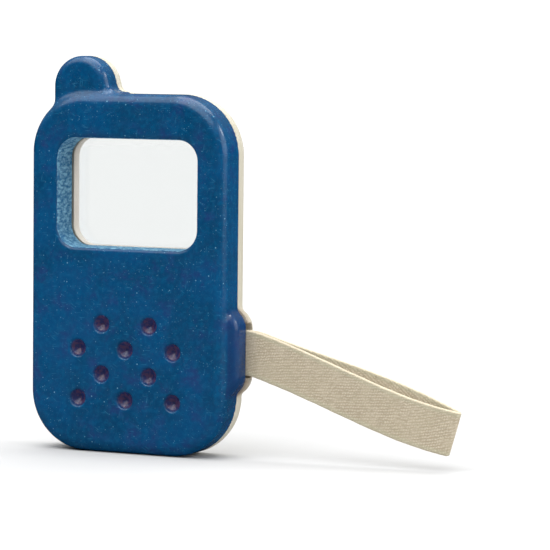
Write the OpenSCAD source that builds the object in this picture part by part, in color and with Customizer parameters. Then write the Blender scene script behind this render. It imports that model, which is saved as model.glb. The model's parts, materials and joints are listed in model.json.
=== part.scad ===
// Toy cell phone: two glued layers with a clear window, dimpled keys, a short
// aerial and a webbing wrist strap. It stands on its bottom edge: X to the strap,
// Y to the back, Z up, with the origin at the middle of the bottom edge.

/* [Body] */
// Width of the body, without the strap lug
body_w = 72.5; // [70:0.5:80]
// Height of the body, without the aerial
body_h = 120; // [118:1:130]
// Thickness of the coloured front layer
front_t = 11; // [10:0.5:13]
// Thickness of the natural back layer
back_t = 7; // [6.5:0.5:9]
// Radius of the four big corners of the body
corner_r = 20; // [17:1:22]
// Radius of the rounded front and back edges of the body
edge_r = 4; // [3:0.5:5]

/* [Window] */
// Width of the window
window_w = 51.6; // [46:0.2:53]
// Height of the window
window_h = 36.4; // [32:0.2:38]
// Height of the window's lower edge above the base
window_z = 68.7; // [67:0.1:70]
// Radius of the window's corners
window_r = 7; // [5:0.5:9]
// Radius of the window's rounded front and back edges
window_edge_r = 1.5; // [1:0.25:2]
// Thickness of the clear pane
pane_t = 2; // [1.5:0.5:2.5]
// How far the pane reaches past the window on each side
pane_lap = 4; // [2.5:0.5:4.5]

/* [Keys] */
// Diameter of a key dimple
dimple_d = 5.8; // [5:0.2:7]
// Depth of a dimple's straight wall
dimple_depth = 1; // [0.6:0.1:1.5]
// Point angle of the drill that made the dimples
drill_angle = 118; // [110:2:140]
// Distance between neighbouring keys in a row
key_pitch_x = 17.6; // [15:0.2:19]
// Distance between one row of keys and the next
key_pitch_z = 8.4; // [7.5:0.1:9]
// Height of the lowest row of keys above the base
key_z = 18.1; // [17:0.1:20]

/* [Aerial and strap lug] */
// Width of the aerial
aerial_w = 20.4; // [18:0.2:22]
// How far the aerial stands above the body
aerial_rise = 12.4; // [11:0.2:14]
// Distance of the aerial's middle line from the middle of the body
aerial_x = 19.2; // [16:0.2:20]
// How far the strap lug stands out from the side of the body
lug_out = 4.2; // [3.5:0.1:5]
// How far the front layer's lug stops short of the back layer's
front_lug_short = 0.9; // [0:0.1:1]
// Height of the strap lug
lug_h = 29.5; // [24:0.5:30]
// Height of the lug's middle above the base
lug_z = 35.1; // [33:0.1:37]
// How far the aerial and the lug are set back from the front face
front_setback = 3; // [2:0.25:3.5]
// How far the aerial and the lug are set back from the back face
back_setback = 1.5; // [1:0.25:2]
// Radius of the front edges of the aerial and the lug
nub_edge_r = 3; // [2:0.25:3]

/* [Wrist strap] */
// Width of the webbing
web_w = 15; // [12:0.5:16]
// Height of the slot above the webbing
slot_above = 2.2; // [0.3:0.1:2.5]
// Height of the slot below the webbing
slot_below = 1; // [0.3:0.1:2]
// Thickness of the webbing
web_t = 1.3; // [1:0.1:1.4]
// Length of the folded strap from its pivot to its fold
strap_reach = 74.3; // [60:0.5:80]
// Angle at which the strap hangs below the horizontal
strap_droop = 18; // [10:0.1:19]
// Widest gap between the two runs of the strap
strap_gap = 1.6; // [0.4:0.1:2]
// Length of webbing clamped inside the slot
tail_l = 15; // [12:1:18]

/* [Hidden] */
$fn = 64;
clearance = 0.15;               // round the pane and the tails, inside the glued body
slip = 0.005;                   // between a dowel or pin and its hole
over = 1;                       // how far a cutting tool runs past a face
seam_y = front_t - (front_t + back_t) / 2;
aerial_foot = 14;               // how far the aerial reaches down into the body
lug_root = 12;                  // how far the lug reaches into the body
lug_corner_r = 7;
fillet_r = 4;
dowel_d = 5;
dowel_l = 10;
dowel_end_gap = 0.5;            // room left at each end of a dowel
dowel_inset_x = [16, 12];       // of the top pair and the bottom pair, from the body's sides
dowel_z = [body_h - 6.5, 10];   // of the top pair and the bottom pair
pin_d = 2;
pin_l = 8;
pin_spacing = 8;
pin_depth_x = 7;                // of the pins inside the lug's outer face
slot_t = 2 * web_t + 2 * clearance;
slot_y = seam_y + slot_t / 2;
lug_face_x = body_w / 2 + lug_out;
pivot_x = lug_face_x + web_t + 0.45;
pin_x = lug_face_x - pin_depth_x;
pane_corner_r = window_r + pane_lap;
window_mid_z = window_z + window_h / 2;
cone_depth = dimple_d / 2 / tan(drill_angle / 2);

front_blue = [0.05, 0.27, 0.47];
pale_wood = [0.90, 0.85, 0.74];
clear_pane = [0.85, 0.90, 0.90, 0.4];
webbing_cream = [0.77, 0.71, 0.60];
brass = [0.75, 0.62, 0.30];
beech = [0.80, 0.66, 0.46];

// ---- Shapes shared by the layers. Their plan is drawn in X and Y, with Y for the
// ---- height of the phone, and their thickness runs up Z from the glued seam.

module rounded_rect(w, h, r) {
  if (w > 2 * r) square([w - 2 * r, h], center = true);
  square([w, h - 2 * r], center = true);
  for (sx = [-1, 1], sy = [-1, 1])
    translate([sx * (w / 2 - r), sy * (h / 2 - r)]) circle(r);
}

// Sweeps a profile round a rounded rectangle: profile X points outward, profile Y up
module sweep_round_rect(w, h, r) {
  for (quarter = [0:3]) {
    run = (quarter % 2 == 0 ? h : w) - 2 * r;
    side = (quarter % 2 == 0 ? w : h) / 2;
    rotate([0, 0, 90 * quarter]) {
      if (run > 0)
        translate([side, run / 2, 0]) rotate([90, 0, 0]) linear_extrude(run) children();
      translate([side - r, run / 2, 0])
        rotate_extrude(angle = 90) translate([r, 0]) children();
    }
  }
}

module quarter_disc(r) {
  translate([-r, 0]) intersection() {
    circle(r);
    square(r);
  }
}

// The corner that is left outside a quarter disc
module spandrel(r) {
  difference() {
    translate([-over, 0]) square([r + over, r + over]);
    translate([r, 0]) circle(r);
    translate([-over, 0]) square([over, r]);
  }
}

// A plate with one rounded edge, lying on the seam
module soft_plate(w, h, r, t, edge) {
  linear_extrude(t - edge) rounded_rect(w, h, r);
  translate([0, 0, t - edge]) {
    linear_extrude(edge) rounded_rect(w - 2 * edge, h - 2 * edge, r - edge);
    sweep_round_rect(w, h, r) quarter_disc(edge);
  }
}

module aerial_blank(t, edge) {
  h = aerial_rise + aerial_foot;
  translate([-aerial_x, body_h + aerial_rise - h / 2, 0])
    soft_plate(aerial_w, h, aerial_w / 2, t, edge);
  // Concave fillet between the aerial and the top of the body
  translate([aerial_w / 2 - aerial_x, body_h, 0]) linear_extrude(t - edge)
    difference() {
      translate([-over, -over]) square(fillet_r + over);
      translate([fillet_r, fillet_r]) circle(fillet_r);
    }
}

module lug_blank(t, edge, short) {
  w = lug_out + lug_root - short;
  translate([lug_face_x - short - w / 2, lug_z, 0]) soft_plate(w, lug_h, lug_corner_r, t, edge);
}

module layer_blank(t, setback, lug_short = 0) {
  nub_t = t - setback;
  nub_edge = min(nub_edge_r, nub_t - 1.5);
  translate([0, body_h / 2, 0]) soft_plate(body_w, body_h, corner_r, t, edge_r);
  aerial_blank(nub_t, nub_edge);
  lug_blank(nub_t, nub_edge, lug_short);
}

module window_cut(t) {
  translate([0, window_mid_z, -over]) linear_extrude(t + 2 * over)
    rounded_rect(window_w, window_h, window_r);
  translate([0, window_mid_z, t - window_edge_r])
    sweep_round_rect(window_w, window_h, window_r) spandrel(window_edge_r);
}

module key_dimple() {
  translate([0, 0, -dimple_depth]) cylinder(h = dimple_depth + over, d = dimple_d);
  translate([0, 0, -dimple_depth - cone_depth]) cylinder(h = cone_depth, d1 = 0, d2 = dimple_d);
}

// Rows of three keys and rows of two keys in turn, from the bottom row up
module key_dimples(t) {
  for (row = [0:3]) {
    keys = row % 2 == 0 ? 3 : 2;
    for (k = [0:keys - 1])
      translate([(k - (keys - 1) / 2) * key_pitch_x, key_z + row * key_pitch_z, t]) key_dimple();
  }
}

// Places of the four dowels: the top pair, then the bottom pair
function dowel_place(i) =
  let (pair = i < 2 ? 0 : 1, side = i % 2 == 0 ? -1 : 1)
  [side * (body_w / 2 - dowel_inset_x[pair]), dowel_z[pair]];

module dowel_holes(depth) {
  for (i = [0:3])
    translate([dowel_place(i)[0], dowel_place(i)[1], -over])
      cylinder(h = depth + over, d = dowel_d + 2 * slip);
}

module pin_holes(depth) {
  for (side = [-1, 1])
    translate([pin_x, lug_z + side * pin_spacing / 2, -over])
      cylinder(h = depth + over, d = pin_d + 2 * slip);
}

// Turns a layer upright, with its seam at the back or at the front
module as_front() { translate([0, seam_y, 0]) rotate([90, 0, 0]) children(); }
module as_back() { translate([0, seam_y, 0]) rotate([90, 0, 0]) mirror([0, 0, 1]) children(); }

// ---- The pieces

module front_casing() {
  color(front_blue) as_front() difference() {
    layer_blank(front_t, front_setback, front_lug_short);
    window_cut(front_t);
    key_dimples(front_t);
    dowel_holes(dowel_l / 2 + dowel_end_gap);
    pin_holes((pin_l - slot_t) / 2 + dowel_end_gap);
  }
}

module back_casing() {
  color(pale_wood) as_back() difference() {
    layer_blank(back_t, back_setback);
    window_cut(back_t);
    // Rebate for the pane
    translate([0, window_mid_z, -over]) linear_extrude(pane_t + clearance + over)
      rounded_rect(window_w + 2 * (pane_lap + clearance), window_h + 2 * (pane_lap + clearance),
                   pane_corner_r);
    // Slot for the strap, open at the lug's outer face
    translate([lug_face_x - tail_l - clearance, lug_z - web_w / 2 - slot_below, -over])
      cube([tail_l + clearance + over, slot_below + web_w + slot_above, slot_t + over]);
    dowel_holes(dowel_l / 2 + dowel_end_gap);
    pin_holes((pin_l + slot_t) / 2 + dowel_end_gap);
  }
}

module screen_pane() {
  color(clear_pane) as_back() translate([0, window_mid_z, clearance / 2]) linear_extrude(pane_t)
    rounded_rect(window_w + 2 * pane_lap, window_h + 2 * pane_lap, pane_corner_r);
}

// Both ends of the webbing, clamped in the slot
module strap_tail() {
  color(webbing_cream) as_back() difference() {
    translate([lug_face_x - tail_l, lug_z - web_w / 2, clearance]) cube([tail_l, web_w, 2 * web_t]);
    pin_holes(pin_l);
  }
}

module strap_pin(side) {
  color(brass) translate([pin_x, slot_y + pin_l / 2, lug_z + side * pin_spacing / 2])
    rotate([90, 0, 0]) cylinder(h = pin_l, d = pin_d);
}

module locating_dowel(i) {
  color(beech) translate([dowel_place(i)[0], seam_y + dowel_l / 2, dowel_place(i)[1]])
    rotate([90, 0, 0]) cylinder(h = dowel_l, d = dowel_d);
}

// Plan of the folded strap along X: two runs that bow apart and one tight fold.
// bow gives half the thickness of the bundle at a share s of its length.
bow_steps = 12;
function bow(s, half) = half + strap_gap / 2 * sin(180 * s);

module strap_outline(half, reach) {
  polygon([
    for (i = [0:bow_steps]) [reach * i / bow_steps, -bow(i / bow_steps, half)],
    for (i = [bow_steps:-1:0]) [reach * i / bow_steps, bow(i / bow_steps, half)]
  ]);
}

module strap_plan() {
  fold_x = strap_reach - web_t;
  slit = 0.05;                  // half the gap between the runs where they touch
  difference() {
    union() {
      strap_outline(web_t + slit, fold_x);
      translate([fold_x, 0]) circle(web_t + slit);
      circle(web_t + slit);
    }
    translate([web_t, 0]) strap_outline(slit, fold_x - web_t);
  }
}

// The loop outside the body, hanging from the pivot just outside the slot
module wrist_strap() {
  band_h = web_w / cos(strap_droop);
  color(webbing_cream) translate([pivot_x, slot_y, lug_z]) {
    cylinder(h = band_h, r = web_t + 0.05, center = true);
    intersection() {
      rotate([0, strap_droop, 0]) translate([0, 0, -web_w / 2]) linear_extrude(web_w)
        union() {
          strap_plan();
          translate([-web_w / 2, -web_t]) square([web_w / 2, 2 * web_t]);
        }
      translate([0, -web_w, -strap_reach]) cube([2 * strap_reach, 2 * web_w, 2 * strap_reach]);
    }
  }
}

front_casing();
back_casing();
screen_pane();
wrist_strap();
strap_tail();
strap_pin(1);  // strap_pin_upper
strap_pin(-1);  // strap_pin_lower
locating_dowel(0);  // locating_dowel_1
locating_dowel(1);  // locating_dowel_2
locating_dowel(2);  // locating_dowel_3
locating_dowel(3);  // locating_dowel_4
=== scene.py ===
"""Looks of the wooden toy phone: two glued layers, a clear window and a webbing strap."""
import json
import math

import bpy
import numpy as np
from mathutils import Matrix, Vector


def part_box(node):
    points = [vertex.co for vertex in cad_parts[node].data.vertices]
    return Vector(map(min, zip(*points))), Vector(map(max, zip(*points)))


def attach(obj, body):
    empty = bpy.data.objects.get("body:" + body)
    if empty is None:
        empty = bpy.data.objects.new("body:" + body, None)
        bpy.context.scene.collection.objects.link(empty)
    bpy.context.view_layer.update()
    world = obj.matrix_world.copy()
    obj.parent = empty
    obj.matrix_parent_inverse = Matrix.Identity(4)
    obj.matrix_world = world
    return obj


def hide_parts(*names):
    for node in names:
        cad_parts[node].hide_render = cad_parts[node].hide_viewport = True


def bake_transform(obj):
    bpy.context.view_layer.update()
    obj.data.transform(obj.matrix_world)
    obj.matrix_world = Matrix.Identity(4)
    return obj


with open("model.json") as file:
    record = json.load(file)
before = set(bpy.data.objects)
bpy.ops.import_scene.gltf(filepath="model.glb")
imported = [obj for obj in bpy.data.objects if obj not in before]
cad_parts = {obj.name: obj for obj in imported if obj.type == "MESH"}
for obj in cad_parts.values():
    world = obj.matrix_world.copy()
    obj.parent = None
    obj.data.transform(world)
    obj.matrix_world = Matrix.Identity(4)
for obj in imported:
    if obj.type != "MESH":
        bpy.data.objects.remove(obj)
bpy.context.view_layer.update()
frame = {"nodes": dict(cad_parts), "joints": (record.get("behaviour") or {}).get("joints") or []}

MM = 0.001

# ---- Sizes in millimetres, from the frame where it has them ----------------------------

front_lo, front_hi = (np.array(p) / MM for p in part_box("front_casing"))
back_lo, back_hi = (np.array(p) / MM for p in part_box("back_casing"))
pane_lo, pane_hi = (np.array(p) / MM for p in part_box("screen_pane"))
tail_lo, tail_hi = (np.array(p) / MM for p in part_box("strap_tail"))
pivot = np.array(frame["joints"][0]["pos_m"]) / MM

SEAM_Y = front_hi[1]
FRONT_T = front_hi[1] - front_lo[1]
BACK_T = back_hi[1] - back_lo[1]
HALF_W = -front_lo[0]
LUG_X = back_hi[0]
FRONT_LUG_X = front_hi[0]
TOP_Z = front_hi[2]
BODY_H = 120.0
CORNER_R = 20.0
EDGE_R = 4.0                     # of the body's front and back edges
SEAM_EDGE_R = 0.25               # of the edges where the layers meet

AERIAL_R = 10.2
AERIAL_X = -19.2
AERIAL_FOOT_Z = 116.2
AERIAL_BLEND = 2.0               # width of the soft joint with the body
AERIAL_FILLET_R = 4.0            # of the inside corner beside the aerial

LUG_Z = (tail_lo[2] + tail_hi[2]) / 2
LUG_H = 29.5
LUG_ROOT = 12.0                  # how far the lug reaches into the body
LUG_R = 7.0
LUG_BLEND = 1.4
SLOT_ABOVE = 2.2                 # height of the slot above and below the webbing
SLOT_BELOW = 1.0
SLOT_DEPTH = 2.9                 # from the seam
SLOT_EDGE_R = 0.3
FRONT_SETBACK = 3.0              # of the aerial and the lug from each face
BACK_SETBACK = 1.5
NUB_EDGE_R = 3.0
NUB_LAND = 1.5                   # least straight wall under that edge

PANE_LAP = 4.0                   # how far the pane reaches past the window
PANE_GAP = 0.15                  # round the pane and the strap's ends
REBATE_GAP = 0.1                 # behind the pane
WINDOW = ((pane_lo + pane_hi) / 2, (pane_hi - pane_lo) / 2 - PANE_LAP)
WINDOW_R = 7.0
WINDOW_EDGE_R = 1.5

DIMPLE_R = 2.9
DIMPLE_DEPTH = 1.0               # of its straight wall
DRILL_HALF_ANGLE = math.radians(59)
DIMPLE_RIM_R = 0.5
DIMPLE_TIP_R = 0.7
KEY_PITCH = (17.6, 8.4)
KEY_Z = 18.1                     # height of the lowest row

WEB_W = tail_hi[2] - tail_lo[2]
WEB_T = 1.2

GRID_STEP = (0.5, 0.4, 0.5)      # of the casings' meshes
CASING_SMOOTH_ANGLE = 48         # edges sharper than this stay crisp, in degrees
STRAP_SMOOTH_ANGLE = 60


# ---- Distance fields: negative inside, in millimetres ----------------------------------

def rounded_rect(x, z, centre, half, r):
    """Rectangle of half size half with corners of radius r."""
    qx = np.abs(x - centre[0]) - (half[0] - r)
    qz = np.abs(z - centre[1]) - (half[1] - r)
    return np.minimum(np.maximum(qx, qz), 0) + np.hypot(np.maximum(qx, 0), np.maximum(qz, 0)) - r


def stadium(x, z, x0, z0, z1, r):
    """Upright strip of half width r with round ends centred on z0 and z1."""
    return np.hypot(x - x0, z - np.clip(z, z0, z1)) - r


def round_and(a, b, r):
    """Both a and b, with their common outer edge rounded to radius r."""
    return np.minimum(-r, np.maximum(a, b)) + np.hypot(np.maximum(r + a, 0), np.maximum(r + b, 0))


def soft_or(a, b, k):
    """Either a or b, with a concave blend about k wide where they meet."""
    h = np.clip(0.5 + 0.5 * (b - a) / k, 0, 1)
    return b + (a - b) * h - k * h * (1 - h)


def inner_fillet(x, z, corner, r, reach=3.0):
    """Fills the inside corner right of and above a point with a concave arc of radius r."""
    dx, dz = x - corner[0], z - corner[1]
    arc = r - np.hypot(dx - r, dz - r)
    return np.maximum.reduce([arc, dx - r, dz - r, -reach - dx, -reach - dz])


def window_field(x, z):
    (cx, _, cz), (hx, _, hz) = WINDOW
    return rounded_rect(x, z, (cx, cz), (hx, hz), WINDOW_R)


def layer_field(x, rise, z, t, setback, lug_x):
    """One layer with its aerial and lug; rise is the height above the glued seam."""
    nub_t = t - setback
    nub_edge = min(NUB_EDGE_R, nub_t - NUB_LAND)
    body = rounded_rect(x, z, (0, BODY_H / 2), (HALF_W, BODY_H / 2), CORNER_R)
    body = round_and(body, rise - t, EDGE_R)
    aerial = stadium(x, z, AERIAL_X, AERIAL_FOOT_Z, TOP_Z - AERIAL_R, AERIAL_R)
    foot = inner_fillet(x, z, (AERIAL_X + AERIAL_R, BODY_H), AERIAL_FILLET_R)
    aerial = np.minimum(aerial, foot)
    aerial = round_and(aerial, rise - nub_t, nub_edge)
    half_w = (LUG_ROOT + lug_x - HALF_W) / 2
    lug = rounded_rect(x, z, (lug_x - half_w, LUG_Z), (half_w, LUG_H / 2), LUG_R)
    lug = round_and(lug, rise - nub_t, nub_edge)
    solid = soft_or(soft_or(body, aerial, AERIAL_BLEND), lug, LUG_BLEND)
    return round_and(solid, -window_field(x, z), WINDOW_EDGE_R)


def key_centres():
    """Rows of three and two keys in turn, from the bottom row up."""
    centres = []
    for row in range(4):
        keys = 3 if row % 2 == 0 else 2
        for k in range(keys):
            centres.append(((k - (keys - 1) / 2) * KEY_PITCH[0], KEY_Z + row * KEY_PITCH[1]))
    return centres


def key_distance(x, z):
    """Distance in the face from the nearest key's centre."""
    nearest = np.full(np.shape(x), 1e3)
    for cx, cz in key_centres():
        nearest = np.minimum(nearest, np.hypot(x - cx, z - cz))
    return nearest


def front_field(x, y, z):
    """The blue front layer, with its drilled keys."""
    rise = SEAM_Y - y
    solid = layer_field(x, rise, z, FRONT_T, FRONT_SETBACK, FRONT_LUG_X)
    rho = key_distance(x, z)
    floor = FRONT_T - DIMPLE_DEPTH - (DIMPLE_R - rho) / math.tan(DRILL_HALF_ANGLE)
    cone = (floor - rise) * math.sin(DRILL_HALF_ANGLE)
    drill = round_and(rho - DIMPLE_R, cone, DIMPLE_TIP_R)
    solid = round_and(solid, -drill, DIMPLE_RIM_R)
    return round_and(solid, -rise, SEAM_EDGE_R)


def back_field(x, y, z):
    """The pale back layer, with the pane's rebate and the strap's slot."""
    rise = y - SEAM_Y
    solid = layer_field(x, rise, z, BACK_T, BACK_SETBACK, LUG_X)
    (cx, _, cz), (hx, _, hz) = WINDOW
    lap = PANE_LAP + PANE_GAP
    rebate = rounded_rect(x, z, (cx, cz), (hx + lap, hz + lap), WINDOW_R + PANE_LAP)
    rebate = np.maximum(rebate, rise - (pane_hi[1] - SEAM_Y + REBATE_GAP))
    solid = np.maximum(solid, -rebate)
    slot = np.maximum(z - tail_hi[2] - SLOT_ABOVE, tail_lo[2] - SLOT_BELOW - z)
    slot = np.maximum(slot, rise - SLOT_DEPTH)
    slot = np.maximum(slot, tail_lo[0] - PANE_GAP - x)
    solid = round_and(solid, -slot, SLOT_EDGE_R)
    return round_and(solid, -rise, SEAM_EDGE_R)


# ---- Surface nets: a quad mesh from a distance field -----------------------------------

def surface_net(field, lo, hi, step):
    """Vertices and outward quads of field = 0 in the box lo..hi, on a grid of the given steps."""
    axes = [np.arange(lo[i] - 2.3 * step[i], hi[i] + 2.6 * step[i], step[i]) for i in range(3)]
    f = np.stack([field(*np.meshgrid(axes[0], y, axes[2], indexing="ij")) for y in axes[1]], 0)
    f = f.reshape(len(axes[1]), len(axes[0]), len(axes[2])).transpose(1, 0, 2)
    inside = f < 0
    cells = tuple(n - 1 for n in f.shape)
    # One vertex per cell, at the mean of the places where its edges cross the surface
    total = np.zeros(cells + (3,))
    count = np.zeros(cells)
    for axis in range(3):
        cut = [slice(None)] * 3
        cut[axis] = slice(0, -1)
        a = f[tuple(cut)]
        cut[axis] = slice(1, None)
        b = f[tuple(cut)]
        crossing = (a < 0) != (b < 0)
        t = np.where(crossing, a / np.where(crossing, a - b, 1), 0)
        others = [i for i in range(3) if i != axis]
        for du in (0, 1):
            for dv in (0, 1):
                pick = [slice(None)] * 3
                pick[others[0]] = slice(du, du + cells[others[0]])
                pick[others[1]] = slice(dv, dv + cells[others[1]])
                c, s = crossing[tuple(pick)], t[tuple(pick)]
                total[..., axis] += np.where(c, s, 0)
                total[..., others[0]] += np.where(c, du, 0)
                total[..., others[1]] += np.where(c, dv, 0)
                count += c
    used = count > 0
    index = np.full(cells, -1)
    index[used] = np.arange(used.sum())
    where = np.argwhere(used)
    offset = total[used] / count[used][:, None]
    verts = np.stack([axes[i][0] + (where[:, i] + offset[:, i]) * step[i] for i in range(3)], 1)
    # One quad round each grid edge that crosses the surface, turned to face outwards
    quads = []
    for axis in range(3):
        u, v = [(1, 2), (2, 0), (0, 1)][axis]
        cut = [slice(1, -1)] * 3
        cut[axis] = slice(0, -1)
        a = inside[tuple(cut)]
        cut[axis] = slice(1, None)
        b = inside[tuple(cut)]
        at = np.argwhere(a != b)
        flip = a[a != b]
        at[:, u] += 1
        at[:, v] += 1
        ring = []
        for du, dv in ((0, 0), (1, 0), (1, 1), (0, 1)):
            cell = at.copy()
            cell[:, u] -= du
            cell[:, v] -= dv
            ring.append(index[cell[:, 0], cell[:, 1], cell[:, 2]])
        q = np.stack(ring, 1)
        q[~flip] = q[~flip][:, ::-1]
        quads.append(q)
    return verts, np.concatenate(quads)


def gradient(field, p, eps=0.02):
    """Slope of a field at points p, by central differences eps apart in millimetres."""
    g = np.zeros_like(p)
    for i in range(3):
        d = np.zeros(3)
        d[i] = eps
        g[:, i] = (field(*(p + d).T) - field(*(p - d).T)) / (2 * eps)
    return g


def snap(field, p, rounds=4):
    """Moves points onto the surface field = 0."""
    for _ in range(rounds):
        g = gradient(field, p)
        p = p - g * (field(*p.T) / np.maximum((g * g).sum(1), 0.25))[:, None]
    return p


def mesh_object(name, verts, faces, smooth_angle):
    """A smooth-shaded mesh object from points in millimetres and lists of their numbers."""
    mesh = bpy.data.meshes.new(name)
    mesh.from_pydata((verts * MM).tolist(), [], faces)
    mesh.validate()
    mesh.shade_smooth()
    mesh.set_sharp_from_angle(angle=math.radians(smooth_angle))
    obj = bpy.data.objects.new(name, mesh)
    bpy.context.scene.collection.objects.link(obj)
    return obj


def set_attribute(obj, name, values):
    """Stores one number per vertex for the materials to read."""
    attribute = obj.data.attributes.new(name, "FLOAT", "POINT")
    attribute.data.foreach_set("value", np.asarray(values, np.float32))


def casing(name, field, lo, hi):
    """One layer, with attributes from 0 to 1 for the wall of its window, its keys and its lug."""
    verts, quads = surface_net(field, lo, hi, GRID_STEP)
    verts = snap(field, verts)
    obj = mesh_object(name, verts, quads.tolist(), CASING_SMOOTH_ANGLE)
    x, y, z = verts.T
    set_attribute(obj, "window_wall", 1 - np.clip((window_field(x, z) - 0.05) / 0.5, 0, 1))
    set_attribute(obj, "dimple", np.clip((DIMPLE_R + 0.1 - key_distance(x, z)) / 0.5, 0, 1))
    # The lug mask carries painted shade on the front lug's set-back face, and end-grain tone with
    # painted shade on the back lug near the seam
    beside = np.minimum((x - HALF_W + 1.6) / 0.4, (LUG_H / 2 + 1 - np.abs(z - LUG_Z)) / 2)
    sunk = (y - front_lo[1] - FRONT_SETBACK + 0.5) / 0.4
    near_seam = np.clip((SEAM_Y + 4 - y) / 3, 0, 1)
    set_attribute(obj, "lug", np.clip(np.minimum(beside, sunk), 0, 1) * near_seam)
    return obj


# ---- The strap --------------------------------------------------------------------------

FOLD_R = 0.72                    # half the distance between the two runs at the fold
FOLD_AT = np.array([112.6, pivot[1], 12.4])
TAIL_START = tail_lo[0] + 0.4
MOUTH_X = LUG_X + 0.6            # where the runs are free to part
MOUTH_SPRING = 0.45              # how far each run springs apart there
SLOT_SHARE = 0.16                # share of a run's points that lie inside the slot
RUN_POINTS = 110
FOLD_POINTS = 10
# How each run hangs: height gained near the slot and near the fold, how late the second
# comes, outward bow (heights and bow in mm) and lean in degrees
DRAPE = {-1: (0.3, -1.4, 2.2, 0.9, -3.0), 1: (-0.25, 1.15, 1.6, 1.4, 12.0)}


def unit(vectors):
    return vectors / np.linalg.norm(vectors, axis=1)[:, None]


def strap_run(side):
    """Centre line and lean of one run, from inside the slot to the fold.
    side is -1 for the front run and 1 for the back run."""
    near, far, late, belly, lean = DRAPE[side]
    start = np.array([TAIL_START, pivot[1], LUG_Z])
    mouth = np.array([MOUTH_X, pivot[1], LUG_Z])
    t = np.linspace(0, 1, RUN_POINTS)
    out = np.clip((t - SLOT_SHARE) / (1 - SLOT_SHARE), 0, 1)
    held = start + (mouth - start) * (t / SLOT_SHARE)[:, None]
    free = mouth + (FOLD_AT - mouth) * out[:, None]
    points = np.where((t < SLOT_SHARE)[:, None], held, free)
    points[:, 2] += near * np.sin(np.pi * (1 - out) ** 3) + far * np.sin(np.pi * out ** late)
    bow = np.sin(np.pi * out)
    spring = MOUTH_SPRING * np.clip(out / 0.02, 0, 1) * (1 - out) ** 2
    points[:, 1] += side * (FOLD_R + belly * bow + spring)
    return points, math.radians(lean) * bow ** 0.8


def smooth(values, width, rounds=2):
    """Running average along the first axis that keeps both ends."""
    kernel = np.ones(2 * width + 1) / (2 * width + 1)
    for _ in range(rounds):
        ends = [np.repeat(values[:1], width, 0), values, np.repeat(values[-1:], width, 0)]
        columns = np.concatenate(ends).T
        values = np.stack([np.convolve(c, kernel, "valid") for c in columns], 1)
    return values


def run_with_widths(side):
    """Smoothed centre line of one run, and the direction of the webbing's width along it."""
    points, lean = strap_run(side)
    points = smooth(points, 2)
    along = unit(np.gradient(points, axis=0))
    across = unit(np.cross((0.0, 0.0, 1.0), along))
    upright = np.cross(along, across)
    return points, upright * np.cos(lean)[:, None] + across * np.sin(lean)[:, None]


def strap_path():
    """Centre points and width directions of the whole strip: front run, fold, back run."""
    front, front_w = run_with_widths(-1)
    back, back_w = run_with_widths(1)
    fold_w = front_w[-1] + back_w[-1]
    fold_w /= np.linalg.norm(fold_w)
    centre = (front[-1] + back[-1]) / 2
    to_front = front[-1] - centre
    outward = np.cross(fold_w, to_front)
    outward *= np.sign(outward[0])
    angles = np.linspace(0, np.pi, FOLD_POINTS + 2)[1:-1, None]
    fold = centre + to_front * np.cos(angles) + outward * np.sin(angles)
    path = np.concatenate([front, fold, back[::-1]])
    widths = [front_w, np.repeat(fold_w[None], FOLD_POINTS, 0), back_w[::-1]]
    return path, np.concatenate(widths)


def strap_section(count=26):
    """Outline of the webbing across its width: flat faces and rounded selvedges."""
    half_w, half_t = WEB_W / 2, WEB_T / 2
    v = np.linspace(-1, 1, count)
    v = np.sign(v) * (1 - (1 - np.abs(v)) ** 1.4)      # closer together towards the edges
    bead = 1 + 0.12 * np.exp(-((np.abs(v) - 0.93) / 0.05) ** 2)
    past = ((np.abs(v) * half_w - (half_w - half_t)) / half_t).clip(0, 1)
    height = half_t * bead * np.sqrt(1 - past ** 2)
    top = np.stack([v * half_w, height], 1)
    bottom = np.stack([v[::-1] * half_w, -height[::-1]], 1)
    return np.concatenate([top, bottom[1:-1]])


def build_strap():
    """The whole strip as one closed mesh, and its length in millimetres."""
    path, width = strap_path()
    normal = unit(np.cross(unit(np.gradient(path, axis=0)), width))
    steps = np.linalg.norm(np.diff(path, axis=0), axis=1)
    length = np.concatenate([[0], np.cumsum(steps)])
    section = strap_section()
    rings, n = len(path), len(section)
    across, thick = section[:, 0], section[:, 1]
    # The edges wave a little where the middle lies flat
    ripple = 0.10 * np.sin(length * 0.55) + 0.06 * np.sin(length * 1.31 + 1.0)
    lift = ripple[:, None] * (np.abs(across) / (WEB_W / 2)) ** 2
    verts = path[:, None] + across[None, :, None] * width[:, None]
    verts = (verts + (thick + lift)[..., None] * normal[:, None]).reshape(-1, 3)
    faces = []
    for i in range(rings - 1):
        for j in range(n):
            k = (j + 1) % n
            faces.append((i * n + j, i * n + k, (i + 1) * n + k, (i + 1) * n + j))
    faces.append(tuple(range(n))[::-1])
    faces.append(tuple((rings - 1) * n + j for j in range(n)))
    obj = mesh_object("wrist_strap_webbing", verts, faces, STRAP_SMOOTH_ANGLE)
    set_attribute(obj, "along_mm", np.repeat(length, n))
    set_attribute(obj, "across_mm", np.tile(across, rings))
    return obj, length[-1]


# ---- Materials --------------------------------------------------------------------------

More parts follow.
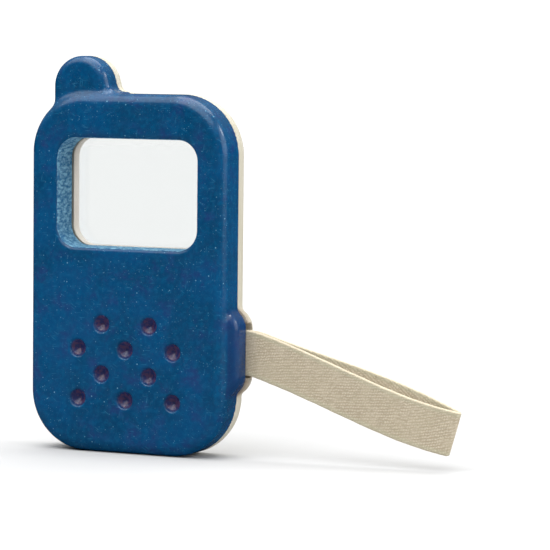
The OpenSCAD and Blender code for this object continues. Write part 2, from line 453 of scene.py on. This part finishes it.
class Shader:
    """Small helper that builds a node material."""

    def __init__(self, name):
        self.material = bpy.data.materials.new(name)
        self.material.use_nodes = True
        self.tree = self.material.node_tree
        self.bsdf = self.tree.nodes["Principled BSDF"]

    def node(self, kind, inputs=None, **settings):
        """Adds a node; inputs are values or sockets by name, and settings are its properties."""
        made = self.tree.nodes.new(kind)
        for key, value in settings.items():
            setattr(made, key, value)
        for key, value in (inputs or {}).items():
            self.put(made.inputs[key], value)
        return made

    def put(self, socket, value):
        """Links a socket, or sets a plain value."""
        if isinstance(value, bpy.types.NodeSocket):
            self.tree.links.new(value, socket)
        else:
            socket.default_value = value

    def place(self, scale=(1, 1, 1), turn=None):
        """Object coordinates in millimetres, turned and then scaled."""
        where = self.node("ShaderNodeTexCoord").outputs["Object"]
        if turn:
            where = self.node("ShaderNodeMapping", {"Vector": where, "Rotation": turn}).outputs[0]
        size = tuple(s / MM for s in scale)
        return self.node("ShaderNodeMapping", {"Vector": where, "Scale": size}).outputs["Vector"]

    def noise(self, vector, scale, detail=2.0, roughness=0.5, distortion=0.0):
        made = self.node("ShaderNodeTexNoise", {"Vector": vector, "Scale": scale, "Detail": detail,
                                                "Roughness": roughness, "Distortion": distortion})
        return made.outputs["Fac"]

    def voronoi(self, vector, scale, output="Distance"):
        made = self.node("ShaderNodeTexVoronoi", {"Vector": vector, "Scale": scale})
        return made.outputs[output]

    def chance(self, vector, scale):
        """An even random number from 0 to 1 for each cell."""
        colour = self.voronoi(vector, scale, "Color")
        return self.node("ShaderNodeSeparateColor", {"Color": colour}).outputs["Red"]

    def ramp(self, value, low, high, to_low=0.0, to_high=1.0):
        """Smooth step from to_low to to_high while value goes from low to high."""
        made = self.node("ShaderNodeMapRange", {"Value": value, "From Min": low, "From Max": high,
                                                "To Min": to_low, "To Max": to_high})
        made.interpolation_type = "SMOOTHSTEP"
        return made.outputs["Result"]

    def math(self, operation, a, b=0.0):
        return self.node("ShaderNodeMath", {0: a, 1: b}, operation=operation).outputs[0]

    def mix(self, factor, a, b, blend="MIX"):
        made = self.node("ShaderNodeMix", data_type="RGBA", blend_type=blend)
        self.put(made.inputs["Factor"], factor)
        self.put(made.inputs["A"], a)
        self.put(made.inputs["B"], b)
        return made.outputs["Result"]

    def attribute(self, name):
        return self.node("ShaderNodeAttribute", attribute_name=name).outputs["Fac"]

    def bump(self, height, distance):
        """Normals for a relief that is distance millimetres deep."""
        inputs = {"Height": height, "Distance": distance * MM, "Strength": 1.0}
        return self.node("ShaderNodeBump", inputs).outputs["Normal"]

    def finish(self, **inputs):
        """Sets the surface's inputs, with _ in their names for spaces."""
        for key, value in inputs.items():
            self.put(self.bsdf.inputs[key.replace("_", " ")], value)
        return self.material


def rgb(r, g, b):
    """Linear colour from 0..255 display values."""
    def linear(c):
        c /= 255
        return c / 12.92 if c <= 0.04045 else ((c + 0.055) / 1.055) ** 2.4
    return (linear(r), linear(g), linear(b), 1.0)


def composite_blue():
    """Blue-stained wood-fibre board: cloudy colour, pale fibre flecks, satin lacquer."""
    s = Shader("composite_blue")
    at = s.place()
    cloud = s.ramp(s.noise(at, 0.07, 3.0), 0.38, 0.62)
    colour = s.mix(cloud, rgb(0, 62, 101), rgb(0, 68, 113))
    violet = s.ramp(s.noise(at, 0.13, 3.0, 0.6), 0.50, 0.72)
    colour = s.mix(s.math("MULTIPLY", violet, 0.8), colour, rgb(28, 54, 106))
    mottle = s.ramp(s.noise(at, 0.55, 4.0, 0.65), 0.42, 0.68)
    colour = s.mix(s.math("MULTIPLY", mottle, 0.35), colour, rgb(0, 92, 136))
    # Short pale fibres lying both ways across the phone, and a few round points
    gate = s.ramp(s.noise(at, 0.12, 2.0), 0.40, 0.58, 0.25, 1.0)
    fibres = 0.0
    for turn, size, share in ((4, 0.60, 0.30), (-34, 0.55, 0.55), (82, 0.50, 0.62)):
        lying = s.place((0.30, 0.5, 2.2), (0, math.radians(turn), 0))
        strand = s.ramp(s.voronoi(lying, size), 0.24, 0.12)
        picked = s.ramp(s.chance(lying, size), share, share + 0.3)
        fibres = s.math("MAXIMUM", fibres, s.math("MULTIPLY", strand, picked))
    fibres = s.math("MULTIPLY", fibres, gate)
    colour = s.mix(s.math("MULTIPLY", fibres, 0.35), colour, rgb(44, 118, 156))
    for scale, largest, strength in ((0.42, 0.13, 0.70), (0.75, 0.18, 0.40), (1.3, 0.24, 0.30)):
        chance = s.chance(at, scale)
        size = s.ramp(chance, 0.45, 1.0, 0.0, largest)
        point = s.ramp(s.math("SUBTRACT", s.voronoi(at, scale), size), 0.0, -0.06)
        colour = s.mix(s.math("MULTIPLY", point, strength), colour, rgb(104, 166, 196))
    # The sawn wall of the window is rougher and paler
    wall = s.attribute("window_wall")
    ragged = s.noise(at, 0.8, 4.0, 0.65)
    wall = s.ramp(s.math("ADD", wall, s.math("MULTIPLY", ragged, 0.6)), 0.78, 1.16)
    fuzz = s.ramp(s.noise(s.place((1.0, 0.5, 1.2)), 0.9, 5.0, 0.7), 0.38, 0.66)
    wall_colour = s.mix(fuzz, rgb(38, 104, 148), rgb(134, 188, 212))
    colour = s.mix(wall, colour, wall_colour)
    # Painted shade: the lug's face, set back behind the front face, is painted darker as if
    # shadowed
    lug = s.math("MULTIPLY", s.attribute("lug"), 0.65)
    colour = s.mix(lug, colour, rgb(22, 48, 94))
    # The drilled keys show darker, browner fibre
    dimple = s.attribute("dimple")
    brown = s.ramp(s.noise(at, 0.8, 3.0), 0.4, 0.62)
    key_colour = s.mix(brown, rgb(44, 44, 90), rgb(78, 54, 84))
    colour = s.mix(s.math("MULTIPLY", dimple, 0.9), colour, key_colour)
    pit = s.ramp(s.noise(at, 1.6, 3.0, 0.6), 0.60, 0.70)
    grain = s.noise(at, 0.6, 4.0, 0.6)
    height = s.math("SUBTRACT", s.math("MULTIPLY", grain, 0.8), s.math("MULTIPLY", pit, 0.6))
    height = s.math("ADD", height, s.math("MULTIPLY", s.math("MULTIPLY", wall, fuzz), 2.5))
    rough = s.ramp(s.noise(at, 0.25, 3.0), 0.3, 0.7, 0.17, 0.26)
    rough = s.mix(wall, rough, (0.75, 0.75, 0.75, 1))
    return s.finish(Base_Color=colour, Roughness=rough, Normal=s.bump(height, 0.06),
                    Specular_IOR_Level=0.36)


def pale_wood():
    """Natural close-grained board, with its grain up the phone."""
    s = Shader("pale_wood")
    streak = s.noise(s.place((1.0, 1.0, 0.03)), 1.3, 5.0, 0.62, 0.3)
    fine = s.noise(s.place((1.0, 1.0, 0.10)), 3.2, 3.0, 0.6)
    broad = s.noise(s.place((1.0, 1.0, 0.15)), 0.10, 3.0)
    tone = s.math("ADD", s.math("MULTIPLY", streak, 0.5), s.math("MULTIPLY", broad, 0.5))
    colour = s.mix(s.ramp(tone, 0.36, 0.64), rgb(206, 202, 188), rgb(191, 185, 166))
    colour = s.mix(s.ramp(streak, 0.55, 0.75, 0.0, 0.4), colour, rgb(178, 168, 144))
    pores = s.ramp(s.noise(s.place((1.0, 1.0, 0.12)), 2.4, 2.0, 0.5), 0.64, 0.72)
    colour = s.mix(s.math("MULTIPLY", pores, 0.30), colour, rgb(168, 148, 114))
    # The lug is end grain, browner and marked by the stain; it is also painted darker near the
    # seam as painted shade beside the strap's slot
    lug = s.ramp(s.noise(s.place(), 0.35, 3.0), 0.3, 0.7, 0.35, 0.75)
    colour = s.mix(s.math("MULTIPLY", s.attribute("lug"), lug), colour, rgb(142, 120, 98))
    # Painted light: the window's wall, in shade behind the pane, is painted paler as if lit
    wall = s.math("MULTIPLY", s.attribute("window_wall"), 0.8)
    colour = s.mix(wall, colour, rgb(248, 238, 228))
    height = s.math("SUBTRACT", fine, pores)
    rough = s.ramp(fine, 0.3, 0.7, 0.42, 0.56)
    return s.finish(Base_Color=colour, Roughness=rough, Normal=s.bump(height, 0.04),
                    Specular_IOR_Level=0.4)


def clear_acrylic():
    """Clear sheet with a faint grey tint and a little surface haze."""
    s = Shader("clear_acrylic")
    smear = s.noise(s.place(), 0.08, 3.0)
    rough = s.ramp(smear, 0.35, 0.7, 0.015, 0.05)
    return s.finish(Base_Color=s.mix(smear, rgb(232, 234, 233), rgb(234, 236, 235)),
                    Roughness=rough, IOR=1.49, Transmission_Weight=1.0)


def cotton_webbing():
    """Undyed cotton tape: fine broken twill ribs, fuzzy yarn, plain selvedges."""
    s = Shader("cotton_webbing")
    along = s.attribute("along_mm")
    across = s.attribute("across_mm")
    jitter = s.noise(s.place(), 0.9, 5.0, 0.7)
    wander = s.math("MULTIPLY", jitter, 10.0)
    slant = s.math("SUBTRACT", s.math("MULTIPLY", along, 2.6), s.math("MULTIPLY", across, 6.2))
    rib = s.math("SINE", s.math("ADD", slant, wander))
    rib = s.math("ADD", s.math("MULTIPLY", rib, 0.5), 0.5)
    yarn = s.math("SINE", s.math("ADD", s.math("MULTIPLY", along, 7.5), wander))
    yarn = s.math("ADD", s.math("MULTIPLY", yarn, 0.5), 0.5)
    weave = s.math("MULTIPLY", rib, s.math("ADD", s.math("MULTIPLY", yarn, 0.6), 0.4))
    fade = s.ramp(s.noise(s.place(), 0.22, 3.0), 0.36, 0.60, 0.45, 1.0)
    weave = s.math("ADD", s.math("MULTIPLY", s.math("SUBTRACT", weave, 0.5), fade), 0.5)
    fuzz = s.noise(s.place(), 2.6, 5.0, 0.75)
    patch = s.noise(s.place(), 0.12, 2.0)
    dash = s.ramp(s.noise(s.place((0.5, 1.0, 1.8)), 1.15, 3.0, 0.6), 0.50, 0.64)
    weave = s.math("MULTIPLY", weave, s.math("SUBTRACT", 1.0, s.math("MULTIPLY", dash, 0.75)))
    colour = s.mix(s.ramp(weave, 0.0, 0.8), rgb(172, 158, 135), rgb(204, 193, 171))
    colour = s.mix(s.ramp(patch, 0.35, 0.7, 0.0, 0.35), colour, rgb(180, 169, 143))
    colour = s.mix(s.ramp(fuzz, 0.45, 0.75, 0.0, 0.45), colour, rgb(206, 197, 178))
    distance = s.math("ABSOLUTE", across)
    green = s.math("MULTIPLY", s.ramp(distance, 5.4, 6.4), s.ramp(distance, 7.4, 6.8))
    colour = s.mix(s.math("MULTIPLY", green, 0.28), colour, rgb(182, 184, 156))
    # Painted highlight: a paler line along both selvedges, as if they caught the overhead light
    edge = s.ramp(distance, 6.9, 7.35)
    colour = s.mix(s.math("MULTIPLY", edge, 0.5), colour, rgb(220, 209, 184))
    height = s.math("ADD", weave, s.math("MULTIPLY", fuzz, 0.6))
    return s.finish(Base_Color=colour, Roughness=0.92, Normal=s.bump(height, 0.08),
                    Specular_IOR_Level=0.15, Sheen_Weight=0.2, Sheen_Roughness=0.5)


def drawn_brass():
    """Drawn wire, with fine lines along the pins."""
    s = Shader("drawn_brass")
    draw = s.noise(s.place((1.0, 0.05, 1.0)), 3.0, 2.0)
    return s.finish(Base_Color=s.mix(draw, rgb(196, 160, 84), rgb(220, 190, 120)), Metallic=1.0,
                    Roughness=s.ramp(draw, 0.3, 0.7, 0.25, 0.4), Normal=s.bump(draw, 0.01))


def plain_beech():
    """Turned dowel, with its grain lengthways."""
    s = Shader("plain_beech")
    grain = s.noise(s.place((1.0, 0.08, 1.0)), 1.4, 4.0, 0.6)
    fleck = s.ramp(s.noise(s.place((1.0, 0.2, 1.0)), 2.4, 2.0), 0.62, 0.70)
    colour = s.mix(grain, rgb(214, 182, 136), rgb(190, 152, 106))
    colour = s.mix(s.math("MULTIPLY", fleck, 0.5), colour, rgb(150, 112, 74))
    return s.finish(Base_Color=colour, Roughness=0.6, Normal=s.bump(grain, 0.05))


def dress(obj, material):
    """Gives a piece one material in place of what it had."""
    obj.data.materials.clear()
    obj.data.materials.append(material)


# ---- The pieces -------------------------------------------------------------------------

front = casing("front_layer_blue", front_field, front_lo, front_hi)
dress(front, composite_blue())
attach(front, "root")
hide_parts("front_casing")

back = casing("back_layer_wood", back_field, back_lo, back_hi)
dress(back, pale_wood())
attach(back, "root")
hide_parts("back_casing")

strap, strap_length = build_strap()
dress(strap, cotton_webbing())
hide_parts("wrist_strap", "strap_tail")
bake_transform(strap)

dress(frame["nodes"]["screen_pane"], clear_acrylic())
brass = drawn_brass()
for name in ("strap_pin_upper", "strap_pin_lower"):
    dress(frame["nodes"][name], brass)
beech = plain_beech()
for number in range(1, 5):
    dress(frame["nodes"][f"locating_dowel_{number}"], beech)


# ---- Floor, lights and camera -----------------------------------------------------------

def pale_floor():
    """Matt white board that mirrors only faintly in the lacquer above it."""
    s = Shader("pale_floor")
    tone = s.noise(s.place(), 0.01, 2.0)
    s.finish(Base_Color=s.mix(tone, (0.535, 0.535, 0.535, 1), (0.545, 0.545, 0.545, 1)),
             Roughness=0.9, Specular_IOR_Level=0.1)
    dim = s.node("ShaderNodeBsdfDiffuse", {"Color": (0.03, 0.03, 0.03, 1)})
    path = s.node("ShaderNodeLightPath").outputs
    mirrored = s.math("MINIMUM", path["Is Glossy Ray"], path["Is Reflection Ray"])
    both = s.node("ShaderNodeMixShader", {0: mirrored, 1: s.bsdf.outputs[0], 2: dim.outputs[0]})
    s.put(s.tree.nodes["Material Output"].inputs["Surface"], both.outputs[0])
    return s.material


def build_floor(radius=3.0, sides=96):
    """Round floor; its radius is in metres."""
    angles = [2 * math.pi * i / sides for i in range(sides)]
    ring = [(radius * math.cos(a), radius * math.sin(a), 0) for a in angles]
    mesh = bpy.data.meshes.new("floor")
    mesh.from_pydata(ring, [], [tuple(range(sides))])
    floor = bpy.data.objects.new("floor", mesh)
    bpy.context.scene.collection.objects.link(floor)
    dress(floor, pale_floor())


def soft_sun(name, direction, spread, power):
    """Even light from a wide patch of ceiling; direction points towards the light."""
    light = bpy.data.lights.new(name, "SUN")
    light.angle = math.radians(spread)
    light.energy = power
    obj = bpy.data.objects.new(name, light)
    obj.rotation_euler = Vector(direction).to_track_quat("Z", "Y").to_euler()
    bpy.context.scene.collection.objects.link(obj)


def build_world():
    """Dim surroundings, a little brighter overhead, and plain white where seen directly."""
    world = bpy.data.worlds.new("studio")
    bpy.context.scene.world = world
    world.use_nodes = True
    nodes, links = world.node_tree.nodes, world.node_tree.links
    nodes.clear()
    out = nodes.new("ShaderNodeOutputWorld")
    seen = nodes.new("ShaderNodeBackground")
    seen.inputs["Color"].default_value = (1, 1, 1, 1)
    seen.inputs["Strength"].default_value = 1.13
    lit = nodes.new("ShaderNodeBackground")
    lit.inputs["Color"].default_value = (0.96, 0.98, 1.0, 1)
    where = nodes.new("ShaderNodeTexCoord")
    split = nodes.new("ShaderNodeSeparateXYZ")
    rise = nodes.new("ShaderNodeMapRange")
    rise.inputs["From Min"].default_value = 0.05
    rise.inputs["From Max"].default_value = 0.9
    rise.inputs["To Min"].default_value = 0.0
    rise.inputs["To Max"].default_value = 0.60
    links.new(where.outputs["Generated"], split.inputs[0])
    links.new(split.outputs["Z"], rise.inputs["Value"])
    links.new(rise.outputs["Result"], lit.inputs["Strength"])
    path = nodes.new("ShaderNodeLightPath")
    mix = nodes.new("ShaderNodeMixShader")
    through = nodes.new("ShaderNodeMath")
    through.operation = "MAXIMUM"
    links.new(path.outputs["Is Camera Ray"], through.inputs[0])
    links.new(path.outputs["Is Transmission Ray"], through.inputs[1])
    links.new(through.outputs[0], mix.inputs["Fac"])
    links.new(lit.outputs[0], mix.inputs[1])
    links.new(seen.outputs[0], mix.inputs[2])
    links.new(mix.outputs[0], out.inputs["Surface"])


def build_camera():
    """Looks from the strap side and a little above, with a slight roll."""
    yaw, rise, roll = (math.radians(a) for a in (24.07, 4.43, 0.586))
    distance, sensor, lens = 0.9725, 36.0, 194.2
    target = Vector((0.05056, 0.0, 0.06149))
    level = Vector((-math.sin(yaw), math.cos(yaw), 0))
    ahead = level * math.cos(rise) - Vector((0, 0, 1)) * math.sin(rise)
    right = ahead.cross(Vector((0, 0, 1))).normalized()
    up = right.cross(ahead)
    tilted_right = right * math.cos(roll) + up * math.sin(roll)
    tilted_up = up * math.cos(roll) - right * math.sin(roll)
    data = bpy.data.cameras.new("camera")
    data.sensor_width = sensor
    data.lens = lens
    camera = bpy.data.objects.new("camera", data)
    turn = Matrix((tilted_right, tilted_up, -ahead)).transposed().to_4x4()
    camera.matrix_world = Matrix.Translation(target - ahead * distance) @ turn
    bpy.context.scene.collection.objects.link(camera)
    bpy.context.scene.camera = camera


build_floor()
soft_sun("ceiling_front", (0.12, -0.50, 0.86), 55, 1.6)
soft_sun("ceiling_left", (-0.40, -0.28, 0.85), 58, 1.6)
soft_sun("ceiling_back", (0.05, 0.32, 0.95), 50, 2.0)
soft_sun("side_panel", (0.93, -0.02, 0.25), 50, 1.4)
soft_sun("small_lamp", (0.80, 0.22, 0.55), 11, 0.55)
build_world()
build_camera()
bpy.context.scene.view_settings.view_transform = "Standard"
